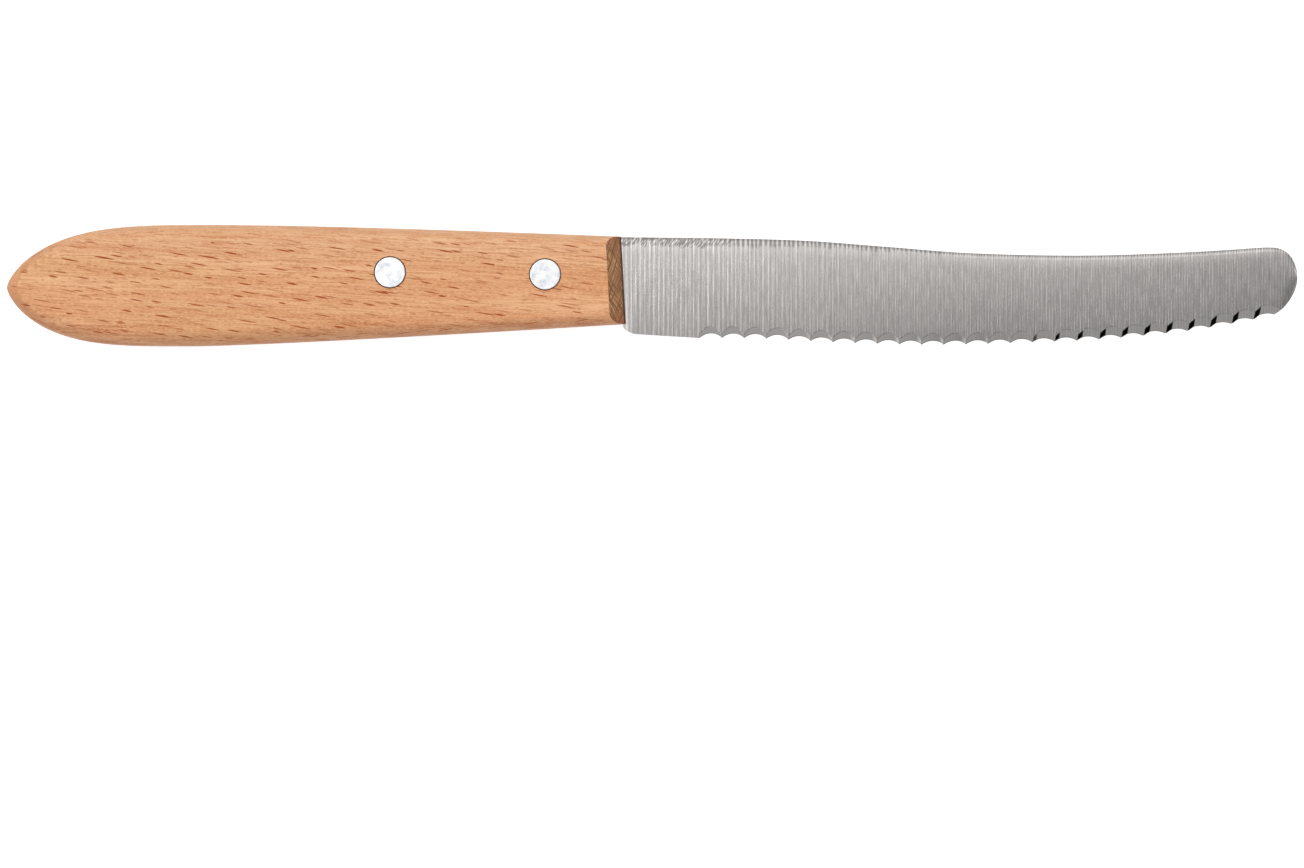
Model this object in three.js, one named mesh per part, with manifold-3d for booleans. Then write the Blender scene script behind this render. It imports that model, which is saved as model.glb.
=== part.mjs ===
// A table and steak knife: a steel blade with a scallop-ground edge and a half tang,
// a one-piece beech handle with a saw slot, and two two-part rivets.
// Millimetres, +Z up. The knife lies on its side: +X points to the tip, +Y to the spine.

import * as THREE from "three";
import { mergeVertices } from "three/addons/utils/BufferGeometryUtils.js";
import Module from "manifold-3d";

const wasm = await Module();
wasm.setup();

// Handle
const HANDLE_LENGTH = 105;
const HANDLE_THICKNESS = 13;
const CREST_HEIGHT = 10.3; // highest point of the back, above the centre line
const BELLY_DEPTH = 10.35; // lowest point of the belly, below the centre line
const CREST_FROM_BUTT = 35;
const BELLY_FROM_BUTT = 30.3;
const BUTT_DROP = 0.4; // the point of the butt lies this far below the centre line
const BUTT_FULLNESS_ALONG = 3.57; // exponents of the ogive that forms the butt
const BUTT_FULLNESS_ACROSS = 1.47;
const FRONT_TOP = 8.3; // corners of the front end, above and below the centre line
const FRONT_BOTTOM = 6.58;
const BACK_RUN = 19.8; // how far the back and the belly run level before they bend to the front
const BELLY_RUN = 12.1;
const FRONT_SLANT = THREE.MathUtils.degToRad(2.9); // the lower front corner stands forward
const FRONT_BEVEL = THREE.MathUtils.degToRad(24.4); // each cheek falls away from the blade
const EDGE_ROUND_BUTT = 3.2; // width of the rounding along the handle's edges, seen from the side
const EDGE_ROUND_FRONT = 1.9;
const EDGE_FLAT = 3; // flat that is left on the edge, across the thickness
const NOSE_ROUND = 3; // how far the rounding reaches in from the point of the butt
const NOSE_START = 0.05; // the first and last sections stand this far in from the points
const CHEEK_LEAST = 0.015; // where the butt is narrow, the cheek keeps at least this height

// Blade
const BLADE_LENGTH = 115;
const SPINE_THICKNESS = 1.2;
const TIP_THICKNESS = 0.9;
const EDGE_THICKNESS = 0.08;
const NOSE_EDGE_THICKNESS = 0.5;
const EDGE_THICKENS_FROM = 55; // distance from the handle's front after which the edge gets thicker
const SPINE_ROUND_WIDTH = 0.8; // rounding of the spine's corners, seen from the side
const SPINE_ROUND_DEPTH = 0.3; // and across the thickness
const GRIND_RUN_IN = 4; // the convex grind starts at the handle and is full after this length
const SPINE_STEP = 0.04; // the spine starts this far below the handle's back
const HEEL_LEAD = 0.7; // the heel leaves the slot this far behind the handle's lower front corner
const HEEL_LENGTH = 2.5; // rounded corner of the heel
const HEEL_DROP = 1.71;
const CORNER_FULLNESS = 1.58; // exponent of the heel corner and of the lower half of the nose
const NOSE_HEIGHT = 1.05; // the foremost point of the round tip, above the centre line
const SPINE_NOSE_LENGTH = 4.6;
const SPINE_NOSE_FULLNESS = 2.3; // exponent of the upper half of the nose
// The spine's fall below its start, and the edge's depth below the handle's front corner,
// at shares of the blade's length
const SPINE_FALL = [
  [0, 0],
  [0.14, 0.18],
  [0.27, 0.6],
  [0.39, 1.63],
  [0.52, 2.74],
  [0.68, 3.12],
  [0.83, 2.6],
  [0.95, 1.74],
];
const EDGE_DEPTH = [
  [0.113, 2.37],
  [0.21, 2.52],
  [0.33, 3.22],
  [0.46, 3.54],
  [0.59, 3.16],
  [0.71, 2.53],
  [0.83, 1.2],
  [0.91, -0.28],
  [0.96, -1.5],
];

// Scallops, ground into the near side of the edge only
const SCALLOP_PITCH = 3.785;
const FIRST_HOLLOW_RISE = 0.8; // top of the hollow in the edge line, above the line of the points
const LAST_HOLLOW_RISE = 0.5;
const ARCH_RISE = 2; // top of the ground arch on the near face, above the same line
const WHEEL_LEAN = THREE.MathUtils.degToRad(9.5); // of the last cut towards the tip; the first has none
const WHEEL_OVERRUN = 1.5; // how far each grinding cut runs past the arch and past the edge
const WHEEL_REACH = 0.7; // half width of a cut, as a share of the pitch
const WHEEL_DEPTH = 1.6; // height of a cut above its lowest line
const WALL_FOOT = 0.38; // where a straight wall starts, as a share of the way from a cut's middle to its side
const WALL_STEEPNESS = 1.5; // rise of the wall at half a pitch from the middle, in sags
const WALL_FROM = 0.45; // share of the scalloped length after which the cuts get a wall towards the handle

// Tang and its slot
const TANG_LENGTH = 52;
const TANG_INSET = 0.25; // the tang stays below the handle's back and belly
const SHOULDER_STEP = 0.05; // length of the small steps where the tang meets the blade
const SLOT_GAP = 0.06; // clearance on each side of the tang
const SLOT_END_GAP = 0.3;

// Two-part rivets
const FRONT_RIVET_SETBACK = 13.25; // from the front end
const FRONT_RIVET_HEIGHT = 1.75; // above the centre line
const REAR_RIVET_SETBACK = 12.45; // from the end of the tang
const REAR_RIVET_HEIGHT = 2.1;
const HEAD_DIAMETER = 5.2;
const HEAD_THICKNESS = 1.3;
const HEAD_CHAMFER = 0.12;
const HEAD_GAP = 0.15; // open ring between the head and the wood
const SEAT_GAP = 0.05; // under each head
const SHANK_DIAMETER = 3.6;
const SHANK_GAP = 0.1;
const SHANK_END_GAP = 0.4;
const TANG_HOLE_GAP = 0.2;
const PIN_DIAMETER = 2.4;
const PIN_GAP = 0.05;
const PIN_END_GAP = 0.5;

// Fineness of the facets
const ROUND_SEGMENTS = 32;
const FACE_ROWS = [0.3, 0.52, 0.7, 0.82, 0.9, 0.96, 1]; // shares of the way from spine to edge
const CORNER_STEPS = 4;
const BUTT_SECTIONS = 18;
const LONG_SECTIONS = 16;
const SPINE_STEPS = 3;
const TANG_SECTIONS = 4;
const BLADE_SECTIONS = 44;
const NOSE_SECTIONS = 10;
const CURVE_SAMPLES = 400;
const WHEEL_STEPS = 13;

const RIVET_PLACES = [
  { name: "front_rivet", behindFront: FRONT_RIVET_SETBACK, height: FRONT_RIVET_HEIGHT },
  { name: "rear_rivet", behindFront: TANG_LENGTH - REAR_RIVET_SETBACK, height: REAR_RIVET_HEIGHT },
];
const SLOT_HALF = SPINE_THICKNESS / 2 + SLOT_GAP;
const FRONT_OVERRUN = 6; // the blank runs past the front end before it is cut

// A closed surface through sections that all have the same number of points.
// The sections follow each other along +X and turn counterclockwise seen from +X.
function loft(sections) {
  const count = sections[0].length;
  const positions = [];
  const indices = [];
  for (const section of sections) {
    for (const point of section) positions.push(point.x, point.y, point.z);
  }
  for (let i = 0; i + 1 < sections.length; i++) {
    for (let j = 0; j < count; j++) {
      const next = (j + 1) % count;
      const a = i * count + j;
      const b = i * count + next;
      const c = (i + 1) * count + next;
      const d = (i + 1) * count + j;
      indices.push(a, b, c, a, c, d);
    }
  }
  const addCap = (section, first, facesTip) => {
    const centre = new THREE.Vector3();
    for (const point of section) centre.addScaledVector(point, 1 / count);
    const hub = positions.length / 3;
    positions.push(centre.x, centre.y, centre.z);
    for (let j = 0; j < count; j++) {
      const next = (j + 1) % count;
      if (facesTip) indices.push(hub, first + j, first + next);
      else indices.push(hub, first + next, first + j);
    }
  };
  addCap(sections[0], 0, false);
  addCap(sections.at(-1), (sections.length - 1) * count, true);
  const geometry = new THREE.BufferGeometry();
  geometry.setAttribute("position", new THREE.Float32BufferAttribute(positions, 3));
  geometry.setIndex(indices);
  return geometry;
}

function solidOf(geometry) {
  const bare = geometry.clone();
  bare.deleteAttribute("normal");
  bare.deleteAttribute("uv");
  const merged = mergeVertices(bare, 1e-4);
  const vertProperties = new Float32Array(merged.attributes.position.array);
  const triVerts = new Uint32Array(merged.index.array);
  return new wasm.Manifold(new wasm.Mesh({ numProp: 3, vertProperties, triVerts }));
}

function geometryOf(solid) {
  const mesh = solid.getMesh();
  const geometry = new THREE.BufferGeometry();
  geometry.setAttribute("position", new THREE.Float32BufferAttribute(mesh.vertProperties, 3));
  geometry.setIndex(Array.from(mesh.triVerts));
  geometry.computeVertexNormals();
  return geometry;
}

// Height of a sampled line at a given x, between its nearest two samples.
function heightAt(samples, x) {
  const last = samples.length - 1;
  const next = samples.findIndex((point) => point.x >= x);
  if (next === 0) return samples[0].y;
  if (next < 0) return samples[last].y;
  const a = samples[next - 1];
  const b = samples[next];
  return a.y + ((b.y - a.y) * (x - a.x)) / (b.x - a.x);
}

const superellipse = (share, exponent) => (1 - share ** exponent) ** (1 / exponent);

// Outline of the handle, measured from the front end towards the butt along -X
const BUTT_X = -HANDLE_LENGTH;
const FRONT_MIDDLE = (FRONT_TOP - FRONT_BOTTOM) / 2;
const frontX = (y) => (FRONT_MIDDLE - y) * Math.tan(FRONT_SLANT);

function buttCurve(length, rise) {
  return (x) => {
    const along = Math.max(0, 1 - (x - BUTT_X) / length) ** BUTT_FULLNESS_ALONG;
    return -BUTT_DROP + rise * (1 - along) ** (1 / BUTT_FULLNESS_ACROSS);
  };
}

function longCurve(fromButt, startHeight, run, endHeight) {
  const start = new THREE.Vector2(BUTT_X + fromButt, startHeight);
  const bend = new THREE.Vector2(BUTT_X + fromButt + run, startHeight);
  const end = new THREE.Vector2(0, endHeight);
  return new THREE.QuadraticBezierCurve(start, bend, end).getPoints(CURVE_SAMPLES);
}

const backButt = buttCurve(CREST_FROM_BUTT, CREST_HEIGHT + BUTT_DROP);
const bellyButt = buttCurve(BELLY_FROM_BUTT, BUTT_DROP - BELLY_DEPTH);
const backLine = longCurve(CREST_FROM_BUTT, CREST_HEIGHT, BACK_RUN, FRONT_TOP);
const bellyLine = longCurve(BELLY_FROM_BUTT, -BELLY_DEPTH, BELLY_RUN, -FRONT_BOTTOM);
const backY = (x) => (x < BUTT_X + CREST_FROM_BUTT ? backButt(x) : heightAt(backLine, x));
const bellyY = (x) => (x < BUTT_X + BELLY_FROM_BUTT ? bellyButt(x) : heightAt(bellyLine, x));

// One section of the handle: flat cheeks and a narrow flat edge, joined by elliptical corners.
function handleSection(x) {
  const top = backY(x);
  const bottom = bellyY(x);
  const fromButt = (x - BUTT_X) / HANDLE_LENGTH;
  const wantedRound = THREE.MathUtils.lerp(EDGE_ROUND_BUTT, EDGE_ROUND_FRONT, Math.min(1, fromButt));
  const round = Math.min(wantedRound, (top - bottom - CHEEK_LEAST) / 2);
  const depth = (HANDLE_THICKNESS - EDGE_FLAT) / 2;
  const noseShare = Math.max(0, 1 - (x - BUTT_X) / NOSE_ROUND);
  const halfThickness = EDGE_FLAT / 2 + depth * superellipse(noseShare, 2);
  const corner = halfThickness - EDGE_FLAT / 2;
  const section = [];
  const quadrants = [
    [1, 1, 0],
    [-1, 1, 1],
    [-1, -1, 0],
    [1, -1, 1],
  ];
  for (const [sideY, sideZ, reversed] of quadrants) {
    for (let step = 0; step <= CORNER_STEPS; step++) {
      const share = reversed ? CORNER_STEPS - step : step;
      const angle = (share / CORNER_STEPS) * (Math.PI / 2);
      const edge = sideY > 0 ? top - round : bottom + round;
      const y = edge + sideY * round * Math.cos(angle);
      const z = sideZ * (EDGE_FLAT / 2 + corner * Math.sin(angle));
      section.push(new THREE.Vector3(x, y, z));
    }
  }
  return section;
}

function makeHandle() {
  const sections = [];
  const buttLength = Math.max(CREST_FROM_BUTT, BELLY_FROM_BUTT);
  for (let i = 0; i <= BUTT_SECTIONS; i++) {
    const share = 1 - Math.cos((i / BUTT_SECTIONS) * (Math.PI / 2));
    sections.push(handleSection(BUTT_X + NOSE_START + share * (buttLength - NOSE_START)));
  }
  for (let i = 1; i <= LONG_SECTIONS; i++) {
    sections.push(handleSection((BUTT_X + buttLength) * (1 - i / LONG_SECTIONS)));
  }
  sections.push(handleSection(FRONT_OVERRUN));
  let handle = solidOf(loft(sections));

  const cutSize = 4 * HANDLE_THICKNESS;
  for (const side of [1, -1]) {
    const cheekCut = new THREE.BoxGeometry(cutSize, 2 * cutSize, 2 * cutSize);
    cheekCut.translate(cutSize / 2, 0, 0);
    cheekCut.rotateY(-side * FRONT_BEVEL);
    cheekCut.rotateZ(FRONT_SLANT);
    cheekCut.translate(0, FRONT_MIDDLE, side * SLOT_HALF);
    const half = new THREE.BoxGeometry(2 * cutSize, 2 * cutSize, cutSize);
    half.translate(0, 0, (side * cutSize) / 2);
    handle = handle.subtract(solidOf(cheekCut).intersect(solidOf(half)));
  }

  const slotLength = TANG_LENGTH + SLOT_END_GAP + FRONT_OVERRUN;
  const slot = new THREE.BoxGeometry(slotLength, 2 * cutSize, 2 * SLOT_HALF);
  slot.translate(FRONT_OVERRUN - slotLength / 2, 0, 0);
  handle = handle.subtract(solidOf(slot));

  const boreDepth = HEAD_THICKNESS + SEAT_GAP;
  for (const { behindFront, height } of RIVET_PLACES) {
    const hole = roundCutter(SHANK_DIAMETER / 2 + SHANK_GAP, 2 * HANDLE_THICKNESS);
    hole.translate(-behindFront, height, 0);
    handle = handle.subtract(solidOf(hole));
    for (const side of [1, -1]) {
      const seat = roundCutter(HEAD_DIAMETER / 2 + HEAD_GAP, 2 * boreDepth);
      seat.translate(-behindFront, height, (side * HANDLE_THICKNESS) / 2);
      handle = handle.subtract(solidOf(seat));
    }
  }
  return geometryOf(handle);
}

function roundCutter(radius, length) {
  const cutter = new THREE.CylinderGeometry(radius, radius, length, ROUND_SEGMENTS);
  cutter.rotateX(Math.PI / 2);
  return cutter;
}

// Outline of the blade, measured from the handle's front end along +X
const TIP_X = BLADE_LENGTH;
function profile(points, height) {
  const places = points.map(([share, value]) => new THREE.Vector2(share * BLADE_LENGTH, height(value)));
  return new THREE.SplineCurve(places);
}
const spineCurve = profile(SPINE_FALL, (fall) => FRONT_TOP - SPINE_STEP - fall);
const edgeCurve = profile(EDGE_DEPTH, (depth) => -FRONT_BOTTOM - depth);
const spineLine = spineCurve.getPoints(CURVE_SAMPLES);
const edgeLine = edgeCurve.getPoints(CURVE_SAMPLES);
const SERRATION_START = edgeLine[0];
const SERRATION_END = edgeLine.at(-1);
const HEEL_START = frontX(-FRONT_BOTTOM) - HEEL_LEAD;
const SPINE_START = frontX(FRONT_TOP);

function spineY(x) {
  if (x < SPINE_START) return backY(x) - TANG_INSET;
  const noseStart = TIP_X - SPINE_NOSE_LENGTH;
  if (x < noseStart) return heightAt(spineLine, x);
  const share = (x - noseStart) / SPINE_NOSE_LENGTH;
  const rise = heightAt(spineLine, noseStart) - NOSE_HEIGHT;
  return NOSE_HEIGHT + rise * superellipse(share, SPINE_NOSE_FULLNESS);
}

function edgeY(x) {
  if (x < HEEL_START) return bellyY(x) + TANG_INSET;
  const heelEnd = HEEL_START + HEEL_LENGTH;
  if (x < heelEnd) {
    const share = (heelEnd - x) / HEEL_LENGTH;
    return -FRONT_BOTTOM - HEEL_DROP * superellipse(share, CORNER_FULLNESS);
  }
  if (x < SERRATION_START.x) {
    const share = (x - heelEnd) / (SERRATION_START.x - heelEnd);
    return THREE.MathUtils.lerp(-FRONT_BOTTOM - HEEL_DROP, SERRATION_START.y, share);
  }
  if (x < SERRATION_END.x) return heightAt(edgeLine, x);
  const share = (x - SERRATION_END.x) / (TIP_X - SERRATION_END.x);
  return NOSE_HEIGHT + (SERRATION_END.y - NOSE_HEIGHT) * superellipse(share, CORNER_FULLNESS);
}

const spineHalf = (x) =>
  THREE.MathUtils.lerp(SPINE_THICKNESS, TIP_THICKNESS, THREE.MathUtils.clamp(x / BLADE_LENGTH, 0, 1)) / 2;

// Half the thickness at the very edge: the tang's is full, the ground edge's thin, the round tip's blunt.
function edgeHalf(x) {
  const ground = THREE.MathUtils.smoothstep(x, HEEL_START, HEEL_START + GRIND_RUN_IN);
  const nose = THREE.MathUtils.smoothstep(x, EDGE_THICKENS_FROM, TIP_X - NOSE_START);
  const thin = THREE.MathUtils.lerp(EDGE_THICKNESS, NOSE_EDGE_THICKNESS, nose) / 2;
  return THREE.MathUtils.lerp(spineHalf(x), thin, ground);
}

// Half the thickness at a share of the way down from the spine: a convex grind.
const faceHalf = (x, down) => THREE.MathUtils.lerp(spineHalf(x), edgeHalf(x), down * down);

function bladeSection(x) {
  const top = spineY(x);
  const height = top - edgeY(x);
  const half = spineHalf(x);
  const near = [];
  for (let step = 0; step <= SPINE_STEPS; step++) {
    const angle = (step / SPINE_STEPS) * (Math.PI / 2);
    const y = top - SPINE_ROUND_WIDTH * (1 - Math.cos(angle));
    near.push(new THREE.Vector3(x, y, half - SPINE_ROUND_DEPTH * (1 - Math.sin(angle))));
  }
  for (const share of FACE_ROWS) {
    const y = THREE.MathUtils.lerp(top - SPINE_ROUND_WIDTH, top - height, share);
    near.push(new THREE.Vector3(x, y, faceHalf(x, (top - y) / height)));
  }
  const far = near.map((point) => new THREE.Vector3(x, point.y, -point.z)).reverse();
  return [...near, ...far];
}

function bladeStations() {
  const stations = [-TANG_LENGTH];
  for (let i = 1; i < TANG_SECTIONS; i++) stations.push(-TANG_LENGTH * (1 - i / TANG_SECTIONS));
  for (const meeting of [SPINE_START, HEEL_START]) stations.push(meeting - SHOULDER_STEP, meeting);
  for (let i = 1; i <= CORNER_STEPS; i++) {
    stations.push(HEEL_START + HEEL_LENGTH * (1 - Math.cos((i / CORNER_STEPS) * (Math.PI / 2))));
  }
  const first = HEEL_START + HEEL_LENGTH;
  const last = TIP_X - Math.max(SPINE_NOSE_LENGTH, TIP_X - SERRATION_END.x);
  for (let i = 1; i <= BLADE_SECTIONS; i++) stations.push(first + ((last - first) * i) / BLADE_SECTIONS);
  for (let i = 1; i <= NOSE_SECTIONS; i++) {
    const share = Math.sin((i / NOSE_SECTIONS) * (Math.PI / 2));
    stations.push(last + share * (TIP_X - NOSE_START - last));
  }
  return stations.sort((a, b) => a - b);
}

// The rim of the grinding wheel, seen along the cut: an arc, whose side towards the handle turns into a
// steeper straight wall on the way to the tip. The arc rises by the sag at half a pitch from the middle.
function wheelRim(place, sag) {
  const half = SCALLOP_PITCH / 2;
  const radius = (half ** 2 + sag ** 2) / (2 * sag);
  const reach = WHEEL_REACH * SCALLOP_PITCH;
  const wallShare = Math.max((place - WALL_FROM) / (1 - WALL_FROM), 0);
  const rim = [new THREE.Vector2(reach, WHEEL_DEPTH), new THREE.Vector2(-reach, WHEEL_DEPTH)];
  for (let step = 0; step <= WHEEL_STEPS; step++) {
    const across = THREE.MathUtils.lerp(-reach, reach, step / WHEEL_STEPS);
    const arc = radius - Math.sqrt(radius ** 2 - across ** 2);
    const wall = (WALL_STEEPNESS * sag * Math.max(-across / half - WALL_FOOT, 0)) / (1 - WALL_FOOT);
    rim.push(new THREE.Vector2(across, across < 0 ? THREE.MathUtils.lerp(arc, wall, wallShare) : arc));
  }
  return new THREE.Shape(rim);
}

// The grinding cut of one scallop. Its lowest line leaves the far face at the top of the hollow and the
// near face at the top of the arch; its sag lets neighbouring hollows meet in a point.
function scallopCut(place) {
  const point = edgeCurve.getPointAt(place);
  const tangent = edgeCurve.getTangentAt(place);
  const height = spineY(point.x) - point.y;
  const halfAt = (rise) => faceHalf(point.x, 1 - rise / height);
  const hollowRise = THREE.MathUtils.lerp(FIRST_HOLLOW_RISE, LAST_HOLLOW_RISE, place);
  const slope = (halfAt(ARCH_RISE) + halfAt(hollowRise)) / (ARCH_RISE - hollowRise);
  const floorAt = (rise) => -halfAt(hollowRise) + (rise - hollowRise) * slope;
  const rim = wheelRim(place, -halfAt(0) - floorAt(0));
  const length = ARCH_RISE + 2 * WHEEL_OVERRUN;
  const cut = new THREE.ExtrudeGeometry(rim, { depth: length, bevelEnabled: false });

  const lean = place * WHEEL_LEAN;
  const along = new THREE.Vector3(tangent.x, tangent.y, 0);
  const up = new THREE.Vector3(0, 0, 1);
  const inward = new THREE.Vector3(Math.sin(lean), Math.cos(lean), 0);
  const startRise = ARCH_RISE + WHEEL_OVERRUN;
  const start = new THREE.Vector3(point.x, point.y, floorAt(startRise)).addScaledVector(inward, startRise);
  const outward = inward.clone().addScaledVector(up, slope).negate();
  return cut.applyMatrix4(new THREE.Matrix4().makeBasis(along, up, outward).setPosition(start));
}

function makeBlade() {
  let blade = solidOf(loft(bladeStations().map(bladeSection)));
  for (const { behindFront, height } of RIVET_PLACES) {
    const hole = roundCutter(SHANK_DIAMETER / 2 + TANG_HOLE_GAP, 4 * SPINE_THICKNESS);
    hole.translate(-behindFront, height, 0);
    blade = blade.subtract(solidOf(hole));
  }
  const count = edgeCurve.getLength() / SCALLOP_PITCH;
  for (let i = 0.5; i < count; i++) blade = blade.subtract(solidOf(scallopCut(i / count)));
  return geometryOf(blade);
}

// Each half of a rivet is a turned piece. The pin half comes from below, the socket half from above.
function turned(points) {
  const lathe = new THREE.LatheGeometry(
    points.map(([radius, height]) => new THREE.Vector2(radius, height)),
    ROUND_SEGMENTS,
  );
  lathe.rotateX(Math.PI / 2);
  return geometryOf(solidOf(lathe));
}

const CHEEK = HANDLE_THICKNESS / 2;
const HEAD_UNDERSIDE = CHEEK - HEAD_THICKNESS;
const HEAD_RADIUS = HEAD_DIAMETER / 2;

function makePin() {
  const pinRadius = PIN_DIAMETER / 2;
  const pinEnd = HEAD_UNDERSIDE - PIN_END_GAP;
  return turned([
    [0, -CHEEK],
    [HEAD_RADIUS - HEAD_CHAMFER, -CHEEK],
    [HEAD_RADIUS, -CHEEK + HEAD_CHAMFER],
    [HEAD_RADIUS, -HEAD_UNDERSIDE],
    [pinRadius, -HEAD_UNDERSIDE],
    [pinRadius, pinEnd - HEAD_CHAMFER],
    [pinRadius - HEAD_CHAMFER, pinEnd],
    [0, pinEnd],
  ]);
}

function makeSocket() {
  const shankRadius = SHANK_DIAMETER / 2;
  const boreRadius = PIN_DIAMETER / 2 + PIN_GAP;
  const shankEnd = -HEAD_UNDERSIDE + SHANK_END_GAP;
  return turned([
    [0, HEAD_UNDERSIDE],
    [boreRadius, HEAD_UNDERSIDE],
    [boreRadius, shankEnd],
    [shankRadius, shankEnd],
    [shankRadius, HEAD_UNDERSIDE],
    [HEAD_RADIUS, HEAD_UNDERSIDE],
    [HEAD_RADIUS, CHEEK - HEAD_CHAMFER],
    [HEAD_RADIUS - HEAD_CHAMFER, CHEEK],
    [0, CHEEK],
  ]);
}

const beech = new THREE.MeshStandardMaterial({ color: 0xdeaa7d, roughness: 0.6, metalness: 0 });
const steel = new THREE.MeshStandardMaterial({ color: 0xb4afa8, roughness: 0.35, metalness: 1 });
const aluminium = new THREE.MeshStandardMaterial({ color: 0xe4e7ea, roughness: 0.4, metalness: 1 });

function piece(name, geometry, material) {
  const mesh = new THREE.Mesh(geometry, material);
  mesh.name = name;
  return mesh;
}

const knife = new THREE.Group();
knife.add(piece("blade", makeBlade(), steel));
knife.add(piece("handle", makeHandle(), beech));
for (const { name, behindFront, height } of RIVET_PLACES) {
  const rivet = new THREE.Group();
  rivet.position.set(-behindFront, height, 0);
  rivet.add(piece(`${name}_pin`, makePin(), aluminium));
  rivet.add(piece(`${name}_socket`, makeSocket(), aluminium));
  knife.add(rivet);
}

// The origin is under the middle of the knife, on the surface that it lies on.
const MIDDLE_Y = (CREST_HEIGHT - BELLY_DEPTH) / 2;
knife.position.set((HANDLE_LENGTH - BLADE_LENGTH) / 2, -MIDDLE_Y, CHEEK);

const part = new THREE.Group();
part.add(knife);

export default part;
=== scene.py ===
import math
from typing import NamedTuple

import bmesh
import bpy
import numpy as np
from mathutils import Matrix, Vector


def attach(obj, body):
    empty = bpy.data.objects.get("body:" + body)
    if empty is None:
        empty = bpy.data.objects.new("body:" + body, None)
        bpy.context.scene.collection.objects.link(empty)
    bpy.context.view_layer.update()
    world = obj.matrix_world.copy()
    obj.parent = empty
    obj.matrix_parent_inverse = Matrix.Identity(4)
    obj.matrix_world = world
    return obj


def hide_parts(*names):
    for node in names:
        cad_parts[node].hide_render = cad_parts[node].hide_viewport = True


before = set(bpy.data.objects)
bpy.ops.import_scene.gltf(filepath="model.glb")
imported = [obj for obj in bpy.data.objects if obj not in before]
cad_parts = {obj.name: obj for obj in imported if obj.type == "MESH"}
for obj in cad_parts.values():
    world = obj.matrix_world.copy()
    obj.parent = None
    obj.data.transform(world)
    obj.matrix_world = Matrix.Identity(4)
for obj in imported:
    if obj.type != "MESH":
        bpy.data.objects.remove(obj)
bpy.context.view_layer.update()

# Sizes in millimetres, as in the CAD model: x from the handle's front end to the tip, y to the spine,
# z out of the near side, with the blade's middle plane at zero.
MM = 0.001
HANDLE_LENGTH = 105.0
HANDLE_THICKNESS = 13.0
CREST_HEIGHT = 10.3
BELLY_DEPTH = 10.35
CREST_FROM_BUTT = 35.0
BELLY_FROM_BUTT = 30.3
BUTT_DROP = 0.4
BUTT_FULLNESS_ALONG = 3.57
BUTT_FULLNESS_ACROSS = 1.47
FRONT_TOP = 8.3
FRONT_BOTTOM = 6.58
BACK_RUN = 19.8
BELLY_RUN = 12.1
FRONT_SLANT = math.radians(2.9)
FRONT_BEVEL = math.radians(24.4)
EDGE_ROUND_BUTT = 3.2
EDGE_ROUND_FRONT = 1.9
EDGE_FLAT = 3.0
NOSE_ROUND = 3.0
NOSE_START = 0.05
CHEEK_LEAST = 0.015

BLADE_LENGTH = 115.0
SPINE_THICKNESS = 1.2
TIP_THICKNESS = 0.9
EDGE_THICKNESS = 0.08
NOSE_EDGE_THICKNESS = 0.5
EDGE_THICKENS_FROM = 55.0
SPINE_ROUND_WIDTH = 0.8
SPINE_ROUND_DEPTH = 0.3
GRIND_RUN_IN = 4.0
SPINE_STEP = 0.04
HEEL_LEAD = 0.7
HEEL_LENGTH = 2.5
HEEL_DROP = 1.71
CORNER_FULLNESS = 1.58
NOSE_HEIGHT = 1.05
SPINE_NOSE_LENGTH = 4.6
SPINE_NOSE_FULLNESS = 2.3
# The spine's fall below its start, and the edge's depth below the handle's front corner,
# at shares of the blade's length
SPINE_FALL = [
    (0, 0),
    (0.14, 0.18),
    (0.27, 0.6),
    (0.39, 1.63),
    (0.52, 2.74),
    (0.68, 3.12),
    (0.83, 2.6),
    (0.95, 1.74),
]
EDGE_DEPTH = [
    (0.113, 2.37),
    (0.21, 2.52),
    (0.33, 3.22),
    (0.46, 3.54),
    (0.59, 3.16),
    (0.71, 2.53),
    (0.83, 1.2),
    (0.91, -0.28),
    (0.96, -1.5),
]

SCALLOP_PITCH = 3.785
FIRST_HOLLOW_RISE = 0.8
LAST_HOLLOW_RISE = 0.5
ARCH_RISE = 2.0
WHEEL_LEAN = math.radians(9.5)
WALL_FOOT = 0.38
WALL_STEEPNESS = 1.5
WALL_FROM = 0.45
CUT_REACH = 0.75  # half width of a cut, as a share of the pitch

TANG_LENGTH = 52.0
TANG_INSET = 0.25
SLOT_END_GAP = 0.3
SLOT_MOUTH_GAP = 0.13

HEAD_DIAMETER = 5.2
HEAD_THICKNESS = 1.3
HEAD_CHAMFER = 0.12
HEAD_GAP = 0.15
SEAT_GAP = 0.05
SHANK_DIAMETER = 3.6
SHANK_GAP = 0.1
SHANK_END_GAP = 0.4
PIN_DIAMETER = 2.4
PIN_GAP = 0.05
PIN_END_GAP = 0.5
HEAD_FLAT_INSET = 1.5  # the flat of a head starts this many chamfers in from its rim
RIVETS = {"front_rivet": (-13.25, 1.75), "rear_rivet": (-39.55, 2.1)}

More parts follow.
